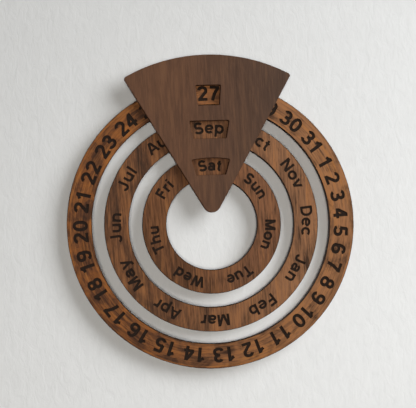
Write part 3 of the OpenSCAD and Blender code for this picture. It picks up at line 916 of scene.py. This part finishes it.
# Wood of each ring: its tones, its place in the pattern and its figure, as walnut takes them.
# The last tone, lighter and paler, is painted sheen on the ring's right side.
# The date ring's grain is bent round the dial, at the middle of its band.
RING_WOODS = {
    "date": {
        "tones": ("#331f12", "#a26831", "#965926", "#976946"), "seed": (0.4, 0.12, 0.6),
        "streaky": 0.55, "patchy": 0.75, "patch_w": 14, "patch_run": 1.6, "bend": 137 * MM,
    },
    "month": {
        "tones": ("#382416", "#97643b", "#86542e", "#8d6345"), "seed": (0.35, 0.5, 0.6),
        "streaky": 0.65, "patchy": 0.65, "patch_w": 24, "patch_run": 2.2,
    },
    "weekday": {
        "tones": ("#36210f", "#8a5a33", "#764a29", "#7f553b"), "seed": (0.5, 0.8, 0.3),
        "streaky": 0.7, "patchy": 0.5, "patch_w": 22, "patch_run": 3,
    },
}
# Tilt of the rings' grain, and where across a ring its wood turns to the painted sheen of its right side,
# as shares of its radius
RING_TILT, RING_SHEEN_SPAN = 0.03, (-0.5, 0.7)


class CALENDAR_OT_rings(bpy.types.Operator):
    """Makes the three engraved rings"""

    bl_idname = "calendar.rings"
    bl_label = "Rings"

    def execute(self, context):
        marks = context.scene.calendar_marks
        finishes = context.scene.calendar_finishes
        edge = burnt("laser_cut_ring_edge", "#120b07", "#2f1d13")
        char = charred("laser_charred_engraving", finishes.marks)
        cuts = {
            "date": date_cuts(marks),
            "month": dial_cuts(MONTHS, SHOWN_MONTH, marks.months, marks.month_turn),
            "weekday": dial_cuts(
                WEEKDAYS, SHOWN_WEEKDAY, marks.weekdays, marks.weekday_turn, marks.weekday_stretch,
            ),
        }
        for name, figure in RING_WOODS.items():
            node = name + "_ring"
            low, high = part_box(node)
            reach = [math.hypot(v.co.x, v.co.z - AXIS_Z) for v in frame["nodes"][node].data.vertices]
            r_in, r_out = min(reach), (high.x - low.x) / 2
            steps = 4 * round(r_out * 2 * math.pi / FACET / 4)
            piece = slab(
                circle_edge(r_out, steps, 1), [circle_edge(r_in, steps, -1)],
                -high.y, -low.y, marks.ring_edge, marks.ring_edge, WALL, list(cuts[name]), marks.depth,
            )
            wood = walnut(
                f"oiled_walnut_{name}_ring", getattr(finishes, node), **figure,
                tilt=RING_TILT, side=[share * r_out for share in RING_SHEEN_SPAN],
            )
            ring = piece.build(f"engraved_{name}_ring", [wood, edge, char])
            finish_piece(ring, name + "_dial", node)
        return {"FINISHED"}


class CALENDAR_OT_carrier(bpy.types.Operator):
    """Finishes the back plate, the spacer, the rails and their dowels"""

    bl_idname = "calendar.carrier"
    bl_label = "Carrier"

    def execute(self, context):
        wood = walnut(
            "oiled_walnut_carrier", context.scene.calendar_finishes.carrier,
            tones=("#46311f", "#7b583e", "#6d4c36", "#5d4433"), seed=(0.9, 0.4, 0.1),
            streaky=0.6, patchy=0.3, patch_w=40, patch_run=4, side=(-0.05, 0.09), cut="#39241a",
        )
        pins = beech("turned_beech_dowel")
        dress("back_plate", wood, ease=0.4 * MM)
        for node in ("top_spacer", "date_rail", "month_rail", "weekday_rail"):
            dress(node, wood, ease=0.3 * MM)
        for node in ("top_spacer_dowels", "date_rail_dowels", "month_rail_dowels", "weekday_rail_dowel"):
            dress(node, pins, ease=0.4 * MM)
        return {"FINISHED"}


# Points round a screw, and rows of points along it to one radius of its shank
SCREW_STEPS, SCREW_ROWS = 32, 6
# Shares of a screw head's radius: the shank, the upright rim, the reach and the width of the cross
# recess at its mouth and at its floor, and the recess's depth
SHANK, RIM, RECESS_MOUTH, RECESS_FLOOR, RECESS_DEPTH = 0.5, 0.06, (0.6, 0.32), (0.36, 0.2), 0.5
# Shares of a screw's shank radius: the core, the neck and its drop below the head, the length of
# the point, the least that the point is drawn out to, and its end
CORE, NECK, NECK_DROP, POINT, LEAST, END = 0.66, 0.72, 0.28, 2.6, 0.02, 0.01
# Half of the thread's foot as a share of its pitch, and ease of the recess as a share of its wings' width
THREAD_FOOT, CROSS_EASE = 0.3, 0.3


def cross_outline(middle, reach, width):
    """Outline of a cross recess, with eased corners at its wings' ends and roots."""
    ease = CROSS_EASE * width
    half = width / 2
    root, corner = half + ease, half + CROSS_EASE * ease
    wing = (
        (root, -half), (reach - ease, -half), (reach, ease - half), (reach, half - ease),
        (reach - ease, half), (root, half), (corner, corner),
    )
    return [
        middle + Matrix.Rotation(quarter * math.pi / 2, 2) @ Vector(p)
        for quarter in range(4) for p in wing
    ]


def screw_radius(depth, turn, reach, shank_r):
    """Radius of a wood screw below its head: a core with a sharp thread, drawn out to a point.

    The thread climbs by one radius of the shank in each turn.
    """
    core = CORE * shank_r
    crest = max(0.0, 1 - abs((depth / shank_r - turn) % 1 - 0.5) / THREAD_FOOT)
    point = min(1.0, (reach - depth) / (POINT * shank_r))
    return max(LEAST * shank_r, (core + (shank_r - core) * crest) * point)


def wood_screw(piece, middle, head_r, reach):
    """Adds a countersunk wood screw, driven towards the front, with a tapered cross recess."""
    shank_r = SHANK * head_r
    land = RIM * head_r
    neck = head_r - shank_r + land
    rays = [polar(1, -2 * math.pi * i / SCREW_STEPS) for i in range(SCREW_STEPS)]

    def round_loop(r, depth):
        """Adds a round row of points, and returns their places."""
        return piece.loop([middle + ray * r for ray in rays], depth)

    top = [middle + ray * (head_r - land) for ray in rays]
    mouth, floor = (
        cross_outline(middle, long * head_r, wide * head_r) for long, wide in (RECESS_MOUTH, RECESS_FLOOR)
    )
    rim, recess = piece.flat(top, [mouth], 0.0)
    bottom, = piece.flat(floor, [], RECESS_DEPTH * head_r)
    piece.band(recess, bottom, FACE, smooth=False)
    rows = [
        rim, round_loop(head_r, land), round_loop(head_r, 2 * land),
        round_loop(NECK * shank_r, neck + NECK_DROP * shank_r),
    ]
    depth = neck + shank_r
    while depth < reach:
        radii = [screw_radius(depth, i / SCREW_STEPS, reach, shank_r) for i in range(SCREW_STEPS)]
        rows.append(piece.loop([middle + ray * r for ray, r in zip(rays, radii)], depth))
        depth += shank_r / SCREW_ROWS
    rows.append(round_loop(END * shank_r, reach))
    piece.bands(rows, FACE)
    piece.faces.append((tuple(rows[-1]), FACE, True))


class CALENDAR_OT_hardware(bpy.types.Operator):
    """Finishes the hanger and makes the screws"""

    bl_idname = "calendar.hardware"
    bl_label = "Hanger and screws"

    def execute(self, context):
        finishes = context.scene.calendar_finishes
        zinc = plated_steel("zinc_plated_steel", finishes.screws, "#6a6d70", roughness=0.42)
        steel = plated_steel("zinc_plated_hanger", finishes.hanger, "#6f7376", roughness=0.46)
        dress("hanger_plate", steel, ease=0.25 * MM)
        for node in (
            "top_spacer_screws", "date_rail_screws", "month_rail_screws", "weekday_rail_screw",
            "hanger_screws",
        ):
            low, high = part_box(node)
            head_r = (high.z - low.z) / 2
            height = (low.z + high.z) / 2 - AXIS_Z
            out = high.x - head_r
            piece = Piece()
            for x in (-out, out) if out > head_r else (0.0,):
                wood_screw(piece, Vector((x, height)), head_r, -low.y)
            shown = piece.build("threaded_" + node, [zinc])
            finish_piece(shown, "carrier", node)
        return {"FINISHED"}


# Points round a wall pad and round its soft rim, the rim's depth as a share of the pad's thickness,
# and the rows inside it as shares of its radius
PAD_STEPS, PAD_RIM_STEPS, PAD_RIM, PAD_ROWS = 64, 10, 0.3, (0.3, 0.65)
# Depth and width of the tufts that make a pad's edge uneven
TUFT, TUFT_W = 0.12 * MM, 1.1 * MM


def felt_disc(low, high):
    """Punched felt disc with a soft, slightly uneven rim, flat where it is glued and where it rests."""
    r, thick = (high.x - low.x) / 2, high.y - low.y
    middle = Vector(((low.x + high.x) / 2, (low.z + high.z) / 2 - AXIS_Z))
    soft = PAD_RIM * thick
    turns = [math.pi * (i / PAD_RIM_STEPS - 0.5) for i in range(PAD_RIM_STEPS + 1)]
    sizes = [
        *((share * r, 0.0) for share in PAD_ROWS),
        *((r - soft * (1 - math.cos(turn)), thick * (1 + math.sin(turn)) / 2) for turn in turns),
        *((share * r, thick) for share in reversed(PAD_ROWS)),
    ]
    rays = [polar(1, 2 * math.pi * i / PAD_STEPS) for i in range(PAD_STEPS)]
    piece = Piece()
    rows = []
    for row_r, down in sizes:
        outline = []
        for ray in rays:
            tuft = noise.noise(Vector((*(middle + ray * row_r), down)) / TUFT_W)
            outline.append(middle + ray * (row_r - TUFT * (1 + tuft)))
        rows.append(piece.loop(outline, -high.y + thick - down))
    piece.bands(rows, FACE)
    for row in (rows[0], rows[-1]):
        piece.faces.append((tuple(row), FACE, True))
    return piece


class CALENDAR_OT_pads(bpy.types.Operator):
    """Makes the felt wall pads"""

    bl_idname = "calendar.pads"
    bl_label = "Wall pads"

    def execute(self, context):
        wool = felt("pressed_wool_felt", context.scene.calendar_finishes.pads)
        for side in ("left", "right", "lower"):
            node = side + "_wall_pad"
            pad = felt_disc(*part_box(node)).build(f"{side}_felt_pad", [wool])
            finish_piece(pad, "carrier", node)
        return {"FINISHED"}


# Drop of the floor below the dial axis, reach of the wall and the floor, and the wall's clearance
FLOOR_DROP, FAR, WALL_GAP = 0.9, 6.0, 0.1 * MM
# Strength of the world as the eye and reflections see it
PALE_WORLD = 0.8


class CALENDAR_OT_stage(bpy.types.Operator):
    """Sets the wall, the floor, the light and the camera"""

    bl_idname = "calendar.stage"
    bl_label = "Stage"

    def execute(self, context):
        scene = context.scene
        stage = scene.calendar_stage
        wall_y = CAD_BOX[1].y + WALL_GAP
        floor_z = AXIS_Z - FLOOR_DROP
        self.add_board(scene, "wall", backdrop("painted_plaster", stage.wall), [
            (-FAR, wall_y, floor_z), (FAR, wall_y, floor_z), (FAR, wall_y, FAR), (-FAR, wall_y, FAR),
        ])
        self.add_board(scene, "floor", pale_floor("pale_even_floor", stage.floor), [
            (-FAR, -FAR, floor_z), (FAR, -FAR, floor_z), (FAR, FAR, floor_z), (-FAR, FAR, floor_z),
        ])
        middle = Vector((0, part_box("date_ring")[0].y, AXIS_Z))
        for kind in ("key", "fill", "rear"):
            self.add_lamp(scene, stage, kind, middle)
        self.add_world(scene, stage.ambient)
        self.add_camera(scene, stage, middle)
        scene.view_settings.view_transform = "Standard"
        return {"FINISHED"}

    def add_board(self, scene, name, finish, corners):
        """Flat board that isn't part of the calendar."""
        mesh = bpy.data.meshes.new(name)
        mesh.from_pydata(corners, [], [(0, 1, 2, 3)])
        mesh.materials.append(finish)
        board = bpy.data.objects.new(name, mesh)
        scene.collection.objects.link(board)
        board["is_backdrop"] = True

    def add_lamp(self, scene, stage, kind, aim):
        """Square soft light that the camera doesn't see."""
        lamp = bpy.data.lights.new(kind + "_light", "AREA")
        lamp.energy = getattr(stage, kind)
        lamp.color = getattr(stage, kind + "_tint")
        lamp.size = getattr(stage, kind + "_size")
        at = aim + Vector(getattr(stage, kind + "_at"))
        held = bpy.data.objects.new(kind + "_light", lamp)
        held.location = at
        held.rotation_euler = (aim - at).to_track_quat("-Z", "Y").to_euler()
        held.visible_camera = False
        scene.collection.objects.link(held)

    def add_world(self, scene, strength):
        """Even white light, which looks pale itself."""
        world = bpy.data.worlds.new("studio")
        world.use_nodes = True
        tree = world.node_tree
        tree.nodes.clear()
        level = add(tree, "ShaderNodeMapRange", {
            "Value": seen_plainly(tree), "To Min": strength, "To Max": PALE_WORLD,
        })
        light = add(tree, "ShaderNodeBackground", {"Strength": level})
        add(tree, "ShaderNodeOutputWorld", {"Surface": light})
        scene.world = world

    def add_camera(self, scene, stage, middle):
        """Camera at the photograph's place, turned about its own axis as the photograph is."""
        a, e, r = stage.azimuth, stage.elevation, stage.roll
        back = Vector((math.sin(a) * math.cos(e), -math.cos(a) * math.cos(e), math.sin(e)))
        level = Vector((math.cos(a), math.sin(a), 0))
        upright = back.cross(level)
        right = level * math.cos(r) - upright * math.sin(r)
        up = upright * math.cos(r) + level * math.sin(r)
        at = middle + back * stage.distance
        aim = middle + right * stage.aim[0] + up * stage.aim[1]
        back = (at - aim).normalized()
        right = up.cross(back).normalized()
        up = back.cross(right)
        lens = bpy.data.cameras.new("camera")
        lens.lens = stage.lens / MM
        lens.sensor_fit = "HORIZONTAL"
        camera = bpy.data.objects.new("camera", lens)
        axes = Matrix((right, up, back)).transposed().to_4x4()
        camera.matrix_world = Matrix.Translation(at) @ axes
        scene.collection.objects.link(camera)
        scene.camera = camera


class CALENDAR_PT_panel(bpy.types.Panel):
    """Lists the steps that dress the calendar"""

    bl_label = "Perpetual wall calendar"
    bl_idname = "CALENDAR_PT_panel"
    bl_space_type = "VIEW_3D"
    bl_region_type = "UI"
    bl_category = "Calendar"

    def draw(self, context):
        for step in STEPS:
            self.layout.operator(step.bl_idname)
        for name, group in GROUPS.items():
            box = self.layout.box()
            for key in group.__annotations__:
                box.prop(getattr(context.scene, name), key)


GROUPS = {
    "calendar_plate": CalendarPlate, "calendar_marks": CalendarMarks,
    "calendar_finishes": CalendarFinishes, "calendar_stage": CalendarStage,
}
STEPS = (
    CALENDAR_OT_stage, CALENDAR_OT_front_plate, CALENDAR_OT_rings, CALENDAR_OT_carrier,
    CALENDAR_OT_hardware, CALENDAR_OT_pads,
)


def register():
    """Registers the groups, the steps and the panel."""
    for made in (*GROUPS.values(), *STEPS, CALENDAR_PT_panel):
        bpy.utils.register_class(made)
    for name, group in GROUPS.items():
        setattr(bpy.types.Scene, name, PointerProperty(type=group))


def unregister():
    """Takes them out again."""
    for name in GROUPS:
        delattr(bpy.types.Scene, name)
    for made in (CALENDAR_PT_panel, *STEPS, *GROUPS.values()):
        bpy.utils.unregister_class(made)


def main():
    """Dresses the calendar step by step."""
    register()
    bpy.ops.calendar.stage()
    bpy.ops.calendar.front_plate()
    bpy.ops.calendar.rings()
    bpy.ops.calendar.carrier()
    bpy.ops.calendar.hardware()
    bpy.ops.calendar.pads()
    boxes = {"cad": CAD_BOX, "visual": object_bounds()}
    {key: [list(corner) for corner in box] for key, box in boxes.items()}


if __name__ == "__main__":
    main()
